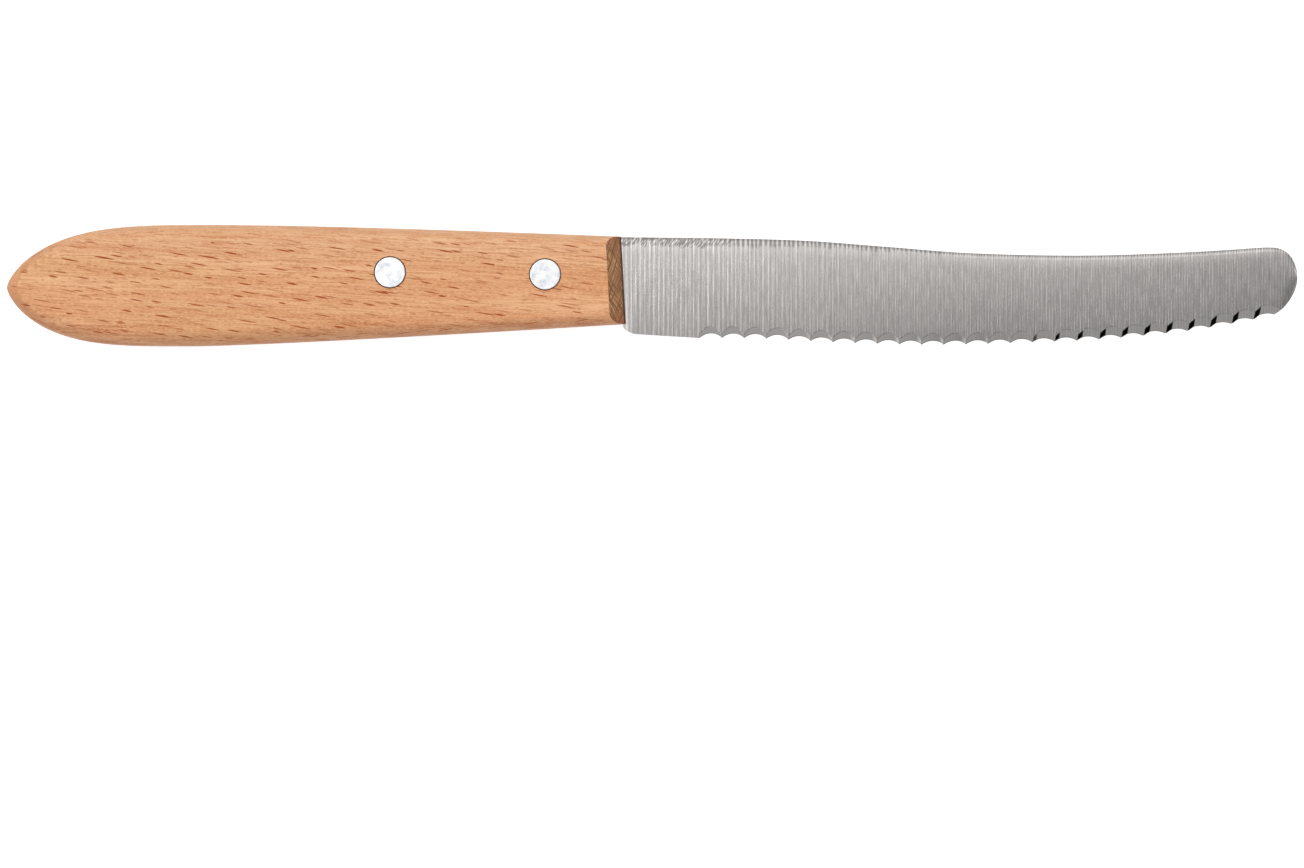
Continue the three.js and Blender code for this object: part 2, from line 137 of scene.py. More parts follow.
# Fineness of the curves and meshes
BEND_POINTS = 400
SPLINE_POINTS = 1600
BUTT_SECTIONS = 64
LONG_SECTIONS = 60
HANDLE_ROUND_STEPS = 10
CUT_OVERRUN = 6.0  # cutters and the uncut handle run this far past the front end
TANG_SECTIONS = 24
TANG_MEETING_GAP = 0.05  # sections on both sides of the steps where the tang meets the blade
HEEL_MEETING_GAP = 0.02
HEEL_SECTIONS = 24
PLAIN_SECTIONS = 40
PLAIN_END_GAP = 0.4  # the plain edge ends and the close sections start this far before the scallops
GROUND_START_GAP = 0.3
GROUND_SECTIONS = 1300
NOSE_SECTIONS = 60
SPINE_ROUND_ROWS = 6
FACE_ROWS = 8
EDGE_ROWS = 36
EDGE_BAND = 2.4  # the close rows cover this height above the edge
EDGE_BAND_SHARE = 0.4  # or, on the narrow nose, this share of the blade's height
FAR_ROWS = 6
FAR_EDGE_ROWS = 4
FAR_EDGE_SHARE = 0.9  # the far side's last rows start at this share of the way to the edge
LEAST_EDGE = 0.015
GROUND_BLEND = 0.012  # depth of grinding at which the steel counts as fully ground
CLEAR_OF_CUTS = 10.0
HALVINGS = 40
HEAD_RIM_STEPS = 4
TURNED_SEGMENTS = 96
HANDLE_SHARP_DEG = 30
BLADE_SHARP_DEG = 40
RIVET_SHARP_DEG = 25

CHEEK = HANDLE_THICKNESS / 2
ROW_SHIFT = Vector(((HANDLE_LENGTH - BLADE_LENGTH) / 2, (BELLY_DEPTH - CREST_HEIGHT) / 2, CHEEK))
BUTT_X = -HANDLE_LENGTH
FRONT_MIDDLE = (FRONT_TOP - FRONT_BOTTOM) / 2


def lerp(a, b, t):
    return a + (b - a) * t


def smoothstep(x, low, high):
    t = np.clip((x - low) / (high - low), 0, 1)
    return t * t * (3 - 2 * t)


def superellipse(share, exponent):
    return np.maximum(0, 1 - np.clip(share, 0, 1) ** exponent) ** (1 / exponent)


def front_x(y):
    return (FRONT_MIDDLE - y) * math.tan(FRONT_SLANT)


# Curves of the outline

def bend(start, control, end, count=BEND_POINTS):
    """Points of a quadratic curve."""
    t = np.linspace(0, 1, count)[:, None]
    return (1 - t) ** 2 * np.array(start) + 2 * t * (1 - t) * np.array(control) + t * t * np.array(end)


def spline(points, count=SPLINE_POINTS):
    """Points of a Catmull-Rom curve through the given ones, evenly spread in its parameter."""
    p = np.array(points, float)
    last = len(p) - 1
    place = np.linspace(0, last, count)
    i = np.minimum(place.astype(int), last - 1)
    w = (place - i)[:, None]
    p0, p1, p2, p3 = p[np.maximum(i - 1, 0)], p[i], p[i + 1], p[np.minimum(i + 2, last)]
    v0, v1 = (p2 - p0) / 2, (p3 - p1) / 2
    return (2 * p1 - 2 * p2 + v0 + v1) * w ** 3 + (-3 * p1 + 3 * p2 - 2 * v0 - v1) * w ** 2 + v0 * w + p1


def butt_y(x, length, rise):
    along = np.maximum(0, 1 - (x - BUTT_X) / length) ** BUTT_FULLNESS_ALONG
    return -BUTT_DROP + rise * (1 - along) ** (1 / BUTT_FULLNESS_ACROSS)


CREST_X = BUTT_X + CREST_FROM_BUTT
BELLY_X = BUTT_X + BELLY_FROM_BUTT
back_line = bend((CREST_X, CREST_HEIGHT), (CREST_X + BACK_RUN, CREST_HEIGHT), (0, FRONT_TOP))
belly_line = bend((BELLY_X, -BELLY_DEPTH), (BELLY_X + BELLY_RUN, -BELLY_DEPTH), (0, -FRONT_BOTTOM))


def back_y(x):
    butt = butt_y(x, CREST_FROM_BUTT, CREST_HEIGHT + BUTT_DROP)
    return np.where(x < CREST_X, butt, np.interp(x, back_line[:, 0], back_line[:, 1]))


def belly_y(x):
    butt = butt_y(x, BELLY_FROM_BUTT, BUTT_DROP - BELLY_DEPTH)
    return np.where(x < BELLY_X, butt, np.interp(x, belly_line[:, 0], belly_line[:, 1]))


spine_line = spline([(s * BLADE_LENGTH, FRONT_TOP - SPINE_STEP - fall) for s, fall in SPINE_FALL])
edge_line = spline([(s * BLADE_LENGTH, -FRONT_BOTTOM - depth) for s, depth in EDGE_DEPTH])
SERRATION_START = edge_line[0]
SERRATION_END = edge_line[-1]
HEEL_START = front_x(-FRONT_BOTTOM) - HEEL_LEAD
HEEL_END = HEEL_START + HEEL_LENGTH
SPINE_START = front_x(FRONT_TOP)
NOSE_X = BLADE_LENGTH - SPINE_NOSE_LENGTH


def spine_y(x):
    on_spine = np.interp(x, spine_line[:, 0], spine_line[:, 1])
    top = np.interp(NOSE_X, spine_line[:, 0], spine_line[:, 1])
    nose_share = (x - NOSE_X) / SPINE_NOSE_LENGTH
    nose = NOSE_HEIGHT + (top - NOSE_HEIGHT) * superellipse(nose_share, SPINE_NOSE_FULLNESS)
    blade = np.where(x < NOSE_X, on_spine, nose)
    return np.where(x < SPINE_START, back_y(x) - TANG_INSET, blade)


def edge_y(x):
    heel = -FRONT_BOTTOM - HEEL_DROP * superellipse((HEEL_END - x) / HEEL_LENGTH, CORNER_FULLNESS)
    plain_share = (x - HEEL_END) / (SERRATION_START[0] - HEEL_END)
    plain = lerp(-FRONT_BOTTOM - HEEL_DROP, SERRATION_START[1], plain_share)
    ground = np.interp(x, edge_line[:, 0], edge_line[:, 1])
    nose_share = (x - SERRATION_END[0]) / (BLADE_LENGTH - SERRATION_END[0])
    nose = NOSE_HEIGHT + (SERRATION_END[1] - NOSE_HEIGHT) * superellipse(nose_share, CORNER_FULLNESS)
    blade = np.where(x < SERRATION_START[0], plain, np.where(x < SERRATION_END[0], ground, nose))
    blade = np.where(x < HEEL_END, heel, blade)
    return np.where(x < HEEL_START, belly_y(x) + TANG_INSET, blade)


def spine_half(x):
    return lerp(SPINE_THICKNESS, TIP_THICKNESS, np.clip(x / BLADE_LENGTH, 0, 1)) / 2


def edge_half(x):
    ground = smoothstep(x, HEEL_START - GRIND_RUN_IN, HEEL_START)
    nose = smoothstep(x, EDGE_THICKENS_FROM, BLADE_LENGTH - NOSE_START)
    thin = lerp(EDGE_THICKNESS, NOSE_EDGE_THICKNESS, nose) / 2
    return lerp(spine_half(x), thin, ground)


def face_half(x, y):
    top = spine_y(x)
    down = np.clip((top - y) / (top - edge_y(x)), 0, 1)
    return lerp(spine_half(x), edge_half(x), down * down)


# Scallops: each is a grinding cut with a round floor that climbs from the far face to the near one.

def scallop_cuts():
    steps = np.linalg.norm(np.diff(edge_line, axis=0), axis=1)
    length = np.concatenate([[0], np.cumsum(steps)])
    pitch = SCALLOP_PITCH
    tangent_step = pitch / 8
    cuts = []
    for here in np.arange(pitch / 2, length[-1], pitch):
        place = here / length[-1]
        point, ahead, behind = [
            np.array([np.interp(along, length, edge_line[:, axis]) for axis in (0, 1)])
            for along in (here, here + tangent_step, here - tangent_step)
        ]
        tangent = (ahead - behind) / np.linalg.norm(ahead - behind)
        hollow_rise = lerp(FIRST_HOLLOW_RISE, LAST_HOLLOW_RISE, place)
        half = [float(face_half(point[0], point[1] + rise)) for rise in (0, hollow_rise, ARCH_RISE)]
        slope = (half[2] + half[1]) / (ARCH_RISE - hollow_rise)
        sag = half[1] + hollow_rise * slope - half[0]
        lean = place * WHEEL_LEAN
        cuts.append({
            "point": point,
            "tangent": tangent,
            "inward": np.array([math.sin(lean), math.cos(lean)]),
            "slope": slope,
            "low": -half[1] - hollow_rise * slope,
            "radius": ((pitch / 2) ** 2 + sag ** 2) / (2 * sag),
            "sag": sag,
            "half": pitch / 2,
            "wall": max((place - WALL_FROM) / (1 - WALL_FROM), 0),
            "reach": CUT_REACH * pitch,
        })
    return cuts


CUTS = scallop_cuts()


def ground_floor(x, y):
    """Height of the lowest grinding cut over each point of the blade's plane."""
    floor = np.full(np.broadcast(x, y).shape, CLEAR_OF_CUTS)
    for cut in CUTS:
        dx = x - cut["point"][0]
        dy = y - cut["point"][1]
        t, n = cut["tangent"], cut["inward"]
        det = t[0] * n[1] - t[1] * n[0]
        u = (dx * n[1] - dy * n[0]) / det
        rise = (t[0] * dy - t[1] * dx) / det
        inside = np.abs(u) < cut["reach"]
        arc = cut["radius"] - np.sqrt(np.maximum(cut["radius"] ** 2 - u ** 2, 0))
        wall = WALL_STEEPNESS * cut["sag"] * np.maximum(-u / cut["half"] - WALL_FOOT, 0) / (1 - WALL_FOOT)
        arc = np.where(u < 0, lerp(arc, wall, cut["wall"]), arc)
        floor = np.where(inside, np.minimum(floor, cut["low"] + rise * cut["slope"] + arc), floor)
    return floor


def cut_edge_y(x):
    """The scalloped edge line: where the cuts leave the far face."""
    low = edge_y(x)
    high = low + ARCH_RISE
    gone_low = ground_floor(x, low) < -face_half(x, low)
    for _ in range(HALVINGS):
        middle = (low + high) / 2
        gone = ground_floor(x, middle) < -face_half(x, middle)
        low = np.where(gone, middle, low)
        high = np.where(gone, high, middle)
    return np.where(gone_low, high, edge_y(x))


# Mesh helpers

def new_object(name, vertices, faces):
    mesh = bpy.data.meshes.new(name)
    shifted = np.asarray(vertices, float) + np.array(ROW_SHIFT)
    mesh.from_pydata((shifted * MM).tolist(), [], faces)
    mesh.validate()
    obj = bpy.data.objects.new(name, mesh)
    bpy.context.scene.collection.objects.link(obj)
    return obj


def loft(name, rings):
    """A closed surface through rings with equal counts, turning counterclockwise seen from +x."""
    rings = np.asarray(rings)
    sections, count = rings.shape[:2]
    vertices = rings.reshape(-1, 3)
    faces = []
    for i in range(sections - 1):
        for j in range(count):
            k = (j + 1) % count
            faces.append((i * count + j, i * count + k, (i + 1) * count + k, (i + 1) * count + j))
    faces.append(tuple(range(count - 1, -1, -1)))
    faces.append(tuple(range((sections - 1) * count, sections * count)))
    return new_object(name, vertices, faces)


def smooth(obj, angle_deg):
    mesh = obj.data
    mesh.polygons.foreach_set("use_smooth", np.ones(len(mesh.polygons), bool))
    mesh.set_sharp_from_angle(angle=math.radians(angle_deg))


def cut_away(obj, cutter):
    """Cuts one closed mesh out of another and removes the cutter."""
    modifier = obj.modifiers.new("cut", "BOOLEAN")
    modifier.operation = "DIFFERENCE"
    modifier.solver = "EXACT"
    modifier.object = cutter
    bpy.context.view_layer.objects.active = obj
    bpy.ops.object.modifier_apply(modifier=modifier.name)
    bpy.data.objects.remove(cutter)


def box_cutter(low, high):
    x0, y0, z0 = low
    x1, y1, z1 = high
    ring0 = [(x0, y0, z0), (x0, y1, z0), (x0, y1, z1), (x0, y0, z1)]
    ring1 = [(x1, y, z) for _, y, z in ring0]
    return loft("box_cutter", [ring0, ring1])


def turned(name, centre, profile, segments=TURNED_SEGMENTS):
    """A piece turned about the z axis from (radius, z) points that start and end on the axis."""
    vertices = []
    rows = []
    for radius, z in profile:
        if radius == 0:
            rows.append([len(vertices)] * segments)
            vertices.append((centre[0], centre[1], z))
            continue
        rows.append(list(range(len(vertices), len(vertices) + segments)))
        for i in range(segments):
            angle = 2 * math.pi * i / segments
            x = centre[0] + radius * math.cos(angle)
            y = centre[1] + radius * math.sin(angle)
            vertices.append((x, y, z))
    faces = []
    for low, high in zip(rows, rows[1:]):
        for i in range(segments):
            j = (i + 1) % segments
            face = [low[i], low[j], high[j], high[i]]
            corners = list(dict.fromkeys(face))
            if len(corners) > 2:
                faces.append(tuple(corners))
    return new_object(name, vertices, faces)


# The handle

def handle_ring(x, steps=HANDLE_ROUND_STEPS):
    top, bottom = float(back_y(x)), float(belly_y(x))
    share = min(1.0, (x - BUTT_X) / HANDLE_LENGTH)
    round_width = lerp(EDGE_ROUND_BUTT, EDGE_ROUND_FRONT, share)
    round_width = min(round_width, (top - bottom - CHEEK_LEAST) / 2)
    nose = max(0.0, 1 - (x - BUTT_X) / NOSE_ROUND)
    corner = (HANDLE_THICKNESS - EDGE_FLAT) / 2 * float(superellipse(nose, 2))
    ring = []
    for side_y, side_z, turned_back in ((1, 1, False), (-1, 1, True), (-1, -1, False), (1, -1, True)):
        for step in range(steps + 1):
            angle = (steps - step if turned_back else step) / steps * math.pi / 2
            edge = top - round_width if side_y > 0 else bottom + round_width
            y = edge + side_y * round_width * math.cos(angle)
            ring.append((x, y, side_z * (EDGE_FLAT / 2 + corner * math.sin(angle))))
    return ring


def make_handle():
    reach = max(CREST_FROM_BUTT, BELLY_FROM_BUTT)
    spread = 1 - np.cos(np.linspace(0, math.pi / 2, BUTT_SECTIONS))
    butt = list(BUTT_X + NOSE_START + spread * (reach - NOSE_START))
    long = list(np.linspace(BUTT_X + reach, 0, LONG_SECTIONS))[1:]
    handle = loft("handle_beech", [handle_ring(x) for x in butt + long + [CUT_OVERRUN]])

    shape = bmesh.new()
    shape.from_mesh(handle.data)
    slot_half = SPINE_THICKNESS / 2 + SLOT_MOUTH_GAP
    for side in (1, -1):
        normal = Vector((math.cos(FRONT_BEVEL), 0, side * math.sin(FRONT_BEVEL)))
        normal.rotate(Matrix.Rotation(FRONT_SLANT, 3, "Z"))
        point = (Vector((0, FRONT_MIDDLE, side * slot_half)) + ROW_SHIFT) * MM
        everything = shape.verts[:] + shape.edges[:] + shape.faces[:]
        cut = bmesh.ops.bisect_plane(
            shape, geom=everything, plane_co=point, plane_no=normal, clear_outer=True)
        rim = [e for e in cut["geom_cut"] if isinstance(e, bmesh.types.BMEdge)]
        bmesh.ops.holes_fill(shape, edges=rim)
    bmesh.ops.recalc_face_normals(shape, faces=shape.faces[:])
    shape.to_mesh(handle.data)
    shape.free()

    far = 2 * HANDLE_THICKNESS
    slot_end = -TANG_LENGTH - SLOT_END_GAP
    cut_away(handle, box_cutter((slot_end, -far, -slot_half), (CUT_OVERRUN, far, slot_half)))
    hole = SHANK_DIAMETER / 2 + SHANK_GAP
    seat = HEAD_DIAMETER / 2 + HEAD_GAP
    floor = CHEEK - HEAD_THICKNESS - SEAT_GAP
    upper = [(hole, floor), (seat, floor), (seat, far), (0, far)]
    lower = [(radius, -z) for radius, z in reversed(upper)]
    for centre in RIVETS.values():
        cut_away(handle, turned("hole_cutter", centre, lower + upper))
    smooth(handle, HANDLE_SHARP_DEG)
    handle.modifiers.new("even_normals", "WEIGHTED_NORMAL").keep_sharp = True
    return handle


# The blade

def blade_stations():
    tang = np.linspace(-TANG_LENGTH, SPINE_START - TANG_MEETING_GAP, TANG_SECTIONS)
    meeting = np.array([SPINE_START, HEEL_START - HEEL_MEETING_GAP])
    heel = HEEL_START + HEEL_LENGTH * (1 - np.cos(np.linspace(0, math.pi / 2, HEEL_SECTIONS)))
    plain = np.linspace(HEEL_END, SERRATION_START[0] - PLAIN_END_GAP, PLAIN_SECTIONS)
    ground = np.linspace(SERRATION_START[0] - GROUND_START_GAP, SERRATION_END[0], GROUND_SECTIONS)
    nose_share = np.sin(np.linspace(0, math.pi / 2, NOSE_SECTIONS))
    nose = SERRATION_END[0] + nose_share * (BLADE_LENGTH - NOSE_START - SERRATION_END[0])
    return np.unique(np.concatenate([tang, meeting, heel, plain, ground, nose[1:]]))


def store_values(obj, name, by_row):
    """Keeps a number for each point of a loft, given by rows along x, for its material."""
    layer = obj.data.attributes.new(name, "FLOAT", "POINT")
    layer.data.foreach_set("value", np.ascontiguousarray(by_row.T).reshape(-1).astype(np.float32))


def make_blade():
    x = blade_stations()
    top = spine_y(x)
    low = cut_edge_y(x)
    face_top = top - SPINE_ROUND_WIDTH
    turn = np.linspace(0, math.pi / 2, SPINE_ROUND_ROWS)
    round_y = [top - SPINE_ROUND_WIDTH * (1 - math.cos(angle)) for angle in turn]
    round_z = np.array([spine_half(x) - SPINE_ROUND_DEPTH * (1 - math.sin(angle)) for angle in turn])

    # The near side, with close rows over the ground edge
    band_top = low + np.minimum(EDGE_BAND, EDGE_BAND_SHARE * (top - low))
    near_y = list(round_y)
    near_y += [lerp(face_top, band_top, share) for share in np.linspace(0, 1, FACE_ROWS)[1:]]
    near_y += [lerp(band_top, low, share) for share in np.linspace(0, 1, EDGE_ROWS)[1:]]
    near_y = np.array(near_y)
    face = face_half(x, near_y)
    face[:SPINE_ROUND_ROWS] = round_z
    ground = ground_floor(x, near_y)
    near_z = np.minimum(face, ground)

    # The far side, which no cut enters
    far_share = np.concatenate([
        np.linspace(0, FAR_EDGE_SHARE, FAR_ROWS)[1:],
        np.linspace(FAR_EDGE_SHARE, 1, FAR_EDGE_ROWS)[1:],
    ])
    far_y = np.array(round_y + [lerp(face_top, low, share) for share in far_share])
    far_z = -face_half(x, far_y)
    far_z[:SPINE_ROUND_ROWS] = -round_z
    near_z[-1] = np.maximum(near_z[-1], far_z[-1] + LEAST_EDGE)

    ring_y = np.concatenate([near_y, far_y[::-1]])
    ring_z = np.concatenate([near_z, far_z[::-1]])
    ring_x = np.broadcast_to(x, ring_y.shape)
    blade = loft("blade_steel", np.stack([ring_x, ring_y, ring_z], axis=-1).transpose(1, 0, 2))

    ground_share = np.zeros(ring_y.shape)
    ground_share[:len(near_y)] = np.clip((face - ground) / GROUND_BLEND, 0, 1)
    store_values(blade, "ground", ground_share)
    store_values(blade, "below_spine", np.broadcast_to(top, ring_y.shape) - ring_y)
    smooth(blade, BLADE_SHARP_DEG)
    return blade


# The rivets

def make_rivets():
    pieces = {}
    head = HEAD_DIAMETER / 2
    under = CHEEK - HEAD_THICKNESS
    pin = PIN_DIAMETER / 2
    bore = pin + PIN_GAP
    shank = SHANK_DIAMETER / 2
    face = []
    for angle in np.linspace(0, math.pi / 2, HEAD_RIM_STEPS):
        radius = head - HEAD_CHAMFER * (1 - math.cos(angle))
        face.append((radius, CHEEK - HEAD_CHAMFER * (1 - math.sin(angle))))
    face += [(head - HEAD_FLAT_INSET * HEAD_CHAMFER, CHEEK), (0, CHEEK)]
    for name, centre in RIVETS.items():
        low = [(radius, -z) for radius, z in reversed(face)]
        low += [(head, -under), (pin, -under)]
        low += [(pin, under - PIN_END_GAP - HEAD_CHAMFER), (pin - HEAD_CHAMFER, under - PIN_END_GAP)]
        low += [(0, under - PIN_END_GAP)]
        pieces[name + "_pin"] = turned(name + "_pin_turned", centre, low)
        high = [(0, under), (bore, under), (bore, -under + SHANK_END_GAP), (shank, -under + SHANK_END_GAP)]
        high += [(shank, under), (head, under)]
        high += face
        pieces[name + "_socket"] = turned(name + "_socket_turned", centre, high)
    for piece in pieces.values():
        smooth(piece, RIVET_SHARP_DEG)
    return pieces


# Materials

class Change(NamedTuple):
    """A value that goes from one to another while what it follows goes between two limits."""

    between: tuple
    values: tuple = (0.0, 1.0)
    soft: bool = True


class Noise(NamedTuple):
    """A noise of a size in millimetres along x, y and z, and how a value changes with its level."""

    size: tuple
    detail: float
    roughness: float
    between: tuple = (0.0, 1.0)
    values: tuple = (0.0, 1.0)
    soft: bool = True
    distortion: float = 0.0


class Bump(NamedTuple):
    """How strongly a relief shows, and its height in millimetres."""

    strength: float
    height: float


class Nodes:
    """Short calls for building the node tree of a material or a world."""

    def __init__(self, owner):
        self.owner = owner
        owner.use_nodes = True
        self.tree = owner.node_tree
        self.shader = self.tree.nodes.get("Principled BSDF")

    def add(self, kind, **settings):
        node = self.tree.nodes.new(kind)
        for key, value in settings.items():
            setattr(node, key, value)
        return node

    def link(self, value, socket):
        if isinstance(value, bpy.types.NodeSocket):
            self.tree.links.new(value, socket)
        else:
            socket.default_value = value

    def place(self):
        """The place on the object, in millimetres."""
        return self.scaled(self.add("ShaderNodeTexCoord").outputs["Object"], (MM, MM, MM))

    def axes(self, vector):
        node = self.add("ShaderNodeSeparateXYZ")
        self.link(vector, node.inputs[0])
        return tuple(node.outputs)

    def attribute(self, name):
        return self.add("ShaderNodeAttribute", attribute_name=name).outputs["Fac"]

    def math(self, operation, a, b=0.0):
        node = self.add("ShaderNodeMath", operation=operation)
        self.link(a, node.inputs[0])
        self.link(b, node.inputs[1])
        return node.outputs[0]

    def total(self, first, *others):
        for other in others:
            first = self.math("ADD", first, other)
        return first

    def product(self, first, *others):
        for other in others:
            first = self.math("MULTIPLY", first, other)
        return first

    def rest_of(self, share):
        return self.math("SUBTRACT", 1.0, share)

    def blend(self, share, a, b):
        """The number a, or b where the share is one."""
        return self.total(self.product(self.rest_of(share), a), self.product(share, b))

    def turned(self, vector, angle_deg):
        node = self.add("ShaderNodeMapping")
        node.inputs["Rotation"].default_value = (0, 0, math.radians(angle_deg))
        self.link(vector, node.inputs["Vector"])
        return node.outputs[0]

    def tipped(self, vector, angle_deg):
        node = self.add("ShaderNodeMapping")
        node.inputs["Rotation"].default_value = (math.radians(angle_deg), 0, 0)
        self.link(vector, node.inputs["Vector"])
        return node.outputs[0]

    def scaled(self, vector, sizes):
        """The vector counted in units of the given sizes."""
        node = self.add("ShaderNodeMapping")
        node.inputs["Scale"].default_value = [1 / size for size in sizes]
        self.link(vector, node.inputs["Vector"])
        return node.outputs[0]

    def noise(self, vector, noise):
        """The plain level of a noise."""
        node = self.add("ShaderNodeTexNoise")
        node.inputs["Scale"].default_value = 1.0
        node.inputs["Detail"].default_value = noise.detail
        node.inputs["Roughness"].default_value = noise.roughness
        node.inputs["Distortion"].default_value = noise.distortion
        self.link(self.scaled(vector, noise.size), node.inputs["Vector"])
        return node.outputs["Fac"]

    def change(self, value, rule):
        """Follows a value by the rule of a Change or a Noise."""
        node = self.add("ShaderNodeMapRange", interpolation_type="SMOOTHSTEP" if rule.soft else "LINEAR")
        for socket, setting in zip(node.inputs, (value, *rule.between, *rule.values)):
            self.link(setting, socket)
        return node.outputs[0]

    def pattern(self, vector, noise):
        return self.change(self.noise(vector, noise), noise)

    def mix(self, factor, a, b):
        node = self.add("ShaderNodeMix", data_type="RGBA")
        self.link(factor, node.inputs[0])
        self.link(a, node.inputs[6])
        self.link(b, node.inputs[7])
        return node.outputs[2]

    def emboss(self, relief, bump):
        node = self.add("ShaderNodeBump")
        node.inputs["Strength"].default_value = bump.strength
        node.inputs["Distance"].default_value = bump.height * MM
        self.link(relief, node.inputs["Height"])
        self.link(node.outputs[0], self.shader.inputs["Normal"])


def srgb(red, green, blue):
    """A colour as it looks on screen, 0 to 255, in linear light."""
    values = []
    for value in (red, green, blue):
        share = value / 255
        values.append(share / 12.92 if share <= 0.04045 else ((share + 0.055) / 1.055) ** 2.4)
    return (*values, 1.0)


# Beech: noises along the grain, across it and into the wood
GRAIN_SLANT_DEG = 3
BANDS = Noise(size=(70, 2.6, 9), detail=4, roughness=0.55, between=(0.34, 0.66), distortion=0.5)
BAND_DARK = srgb(230, 162, 113)
BAND_LIGHT = srgb(248, 190, 144)
DRIFT = Noise(size=(50, 7, 14), detail=2, roughness=0.5, between=(0.46, 0.72), values=(0, 0.6))
DRIFT_YELLOW = srgb(230, 180, 124)
STREAKS = Noise(
    size=(34, 0.9, 4), detail=2, roughness=0.5, between=(0.54, 0.72), values=(0, 0.5), distortion=0.3)
STREAK_RED = srgb(208, 126, 78)
BELLY_STREAKS = Noise(
    size=(15, 0.55, 4), detail=2, roughness=0.5, between=(0.5, 0.66), values=(0, 0.55), distortion=0.3)
BELLY_STREAK_BROWN = srgb(180, 100, 52)
FIBRES = Noise(size=(7, 0.24, 0.24), detail=4, roughness=0.62, between=(0.42, 0.68), values=(0, 0.85))
FIBRE_BROWN = srgb(206, 132, 84)
FIBRE_ROUGHNESS = Change(between=(0.3, 0.7), values=(0.5, 0.62))
PORES = Noise(size=(0.6, 0.16, 0.2), detail=2, roughness=0.5, between=(0.42, 0.72), values=(0, 0.6))
PORE_LIGHT = srgb(252, 206, 164)
WOOD_SPECULAR = 0.2
WOOD_RELIEF = 0.5
WOOD_BUMP = Bump(strength=0.3, height=0.06)

# Changes with the height on the handle, in millimetres
PALE_BACK = Change(between=(1, 8), values=(0, 0.35))
BACK_PALE = srgb(238, 196, 154)
RED_BELLY = Change(between=(-3, -9), values=(0, 0.35))
BELLY_RED = srgb(218, 140, 96)
STREAKED_BELLY = Change(between=(-4, -7))
FLECKS_FADE = Change(between=(6.3, 8.3), values=(1, 0.3))

# Changes with the way that the wood faces, as a part of its unit normal
CHEEK_SIDE = Change(between=(0.5, 0.75))
# Painted shade: wood that faces down turns browner, standing in for the shade on the lower rounding
DOWNWARD_SHADE = Change(between=(-0.3, -0.85), values=(0, 0.08))
DOWNWARD_SHADE_BROWN = srgb(196, 126, 80)
BUTT_SIDE = Change(between=(-0.25, -0.5), values=(0, 0.4))
BUTT_BROWN = srgb(200, 134, 88)
FRONT_SIDE = Change(between=(0.6, 0.85))


def beech():
    n = Nodes(bpy.data.materials.new("beech"))
    place = n.place()
    _, height, _ = n.axes(place)
    grain = n.turned(place, GRAIN_SLANT_DEG)

    # Growth bands, slow changes of colour, streaks, fibres and pores
    colour = n.mix(n.pattern(grain, BANDS), BAND_DARK, BAND_LIGHT)
    colour = n.mix(n.pattern(grain, DRIFT), colour, DRIFT_YELLOW)
    colour = n.mix(n.change(height, PALE_BACK), colour, BACK_PALE)
    colour = n.mix(n.change(height, RED_BELLY), colour, BELLY_RED)
    colour = n.mix(n.pattern(grain, STREAKS), colour, STREAK_RED)
    belly_streaks = n.product(n.pattern(grain, BELLY_STREAKS), n.change(height, STREAKED_BELLY))
    colour = n.mix(belly_streaks, colour, BELLY_STREAK_BROWN)
    fibres = n.noise(grain, FIBRES)
    colour = n.mix(n.change(fibres, FIBRES), colour, FIBRE_BROWN)
    pores = n.noise(grain, PORES)
    colour = n.mix(n.change(pores, PORES), colour, PORE_LIGHT)

    # Ray flecks in two sizes, fainter to the back
    facing_x, facing_y, facing_z = n.axes(n.add("ShaderNodeNewGeometry").outputs["Normal"])
    cheek = n.change(n.math("ABSOLUTE", facing_z), CHEEK_SIDE)
    strength = n.change(height, FLECKS_FADE)
    large = n.product(ray_flecks(n, place, cheek, LARGE_FLECKS), strength)
    small = n.product(ray_flecks(n, place, cheek, SMALL_FLECKS), strength)
    colour = n.mix(n.product(small, SMALL_FLECK_SHARE), colour, SMALL_FLECK_BROWN)
    colour = n.mix(large, colour, LARGE_FLECK_BROWN)

    # Painted shade where the wood faces down, a browner butt end, and end grain on the cut front
    colour = n.mix(n.change(facing_y, DOWNWARD_SHADE), colour, DOWNWARD_SHADE_BROWN)
    colour = n.mix(n.change(facing_x, BUTT_SIDE), colour, BUTT_BROWN)
    colour = n.mix(n.change(facing_x, FRONT_SIDE), colour, end_grain(n, place))

    n.link(colour, n.shader.inputs["Base Color"])
    n.link(n.change(fibres, FIBRE_ROUGHNESS), n.shader.inputs["Roughness"])
    n.shader.inputs["Specular IOR Level"].default_value = WOOD_SPECULAR
    n.emboss(n.product(n.math("SUBTRACT", pores, large), WOOD_RELIEF), WOOD_BUMP)
    return n.owner


class Flecks(NamedTuple):
    """Wood rays cut open, one in each cell, with half lengths and heights as shares of the cell."""

    slant_deg: float
    cell: tuple
    longest: float
    thickest: float


LARGE_FLECKS = Flecks(slant_deg=10, cell=(4.4, 1.15), longest=0.48, thickest=0.15)
LARGE_FLECK_BROWN = srgb(172, 84, 34)
SMALL_FLECKS = Flecks(slant_deg=8, cell=(2.1, 0.7), longest=0.36, thickest=0.17)
SMALL_FLECK_BROWN = srgb(188, 108, 58)
SMALL_FLECK_SHARE = 0.55
SHORTEST_FLECK = 0.3  # as a share of the longest
THINNEST_FLECK = 0.5
FLECK_POINT = 2.0  # power of the curve that a fleck's ends follow
FLECK_RIM = Change(between=(-0.12, 0.3))
FLECK_DEPTH = Change(between=(0.1, 0.8), values=(0.15, 1.0), soft=False)


def ray_flecks(n, place, cheek, flecks):
    """Flecks laid out across the cheeks and, where the wood faces sideways, its edges."""
    on_cheek = spindles(n, n.turned(place, flecks.slant_deg), flecks)
    on_edge = spindles(n, n.turned(n.tipped(place, 90), flecks.slant_deg), flecks)
    return n.blend(cheek, on_edge, on_cheek)


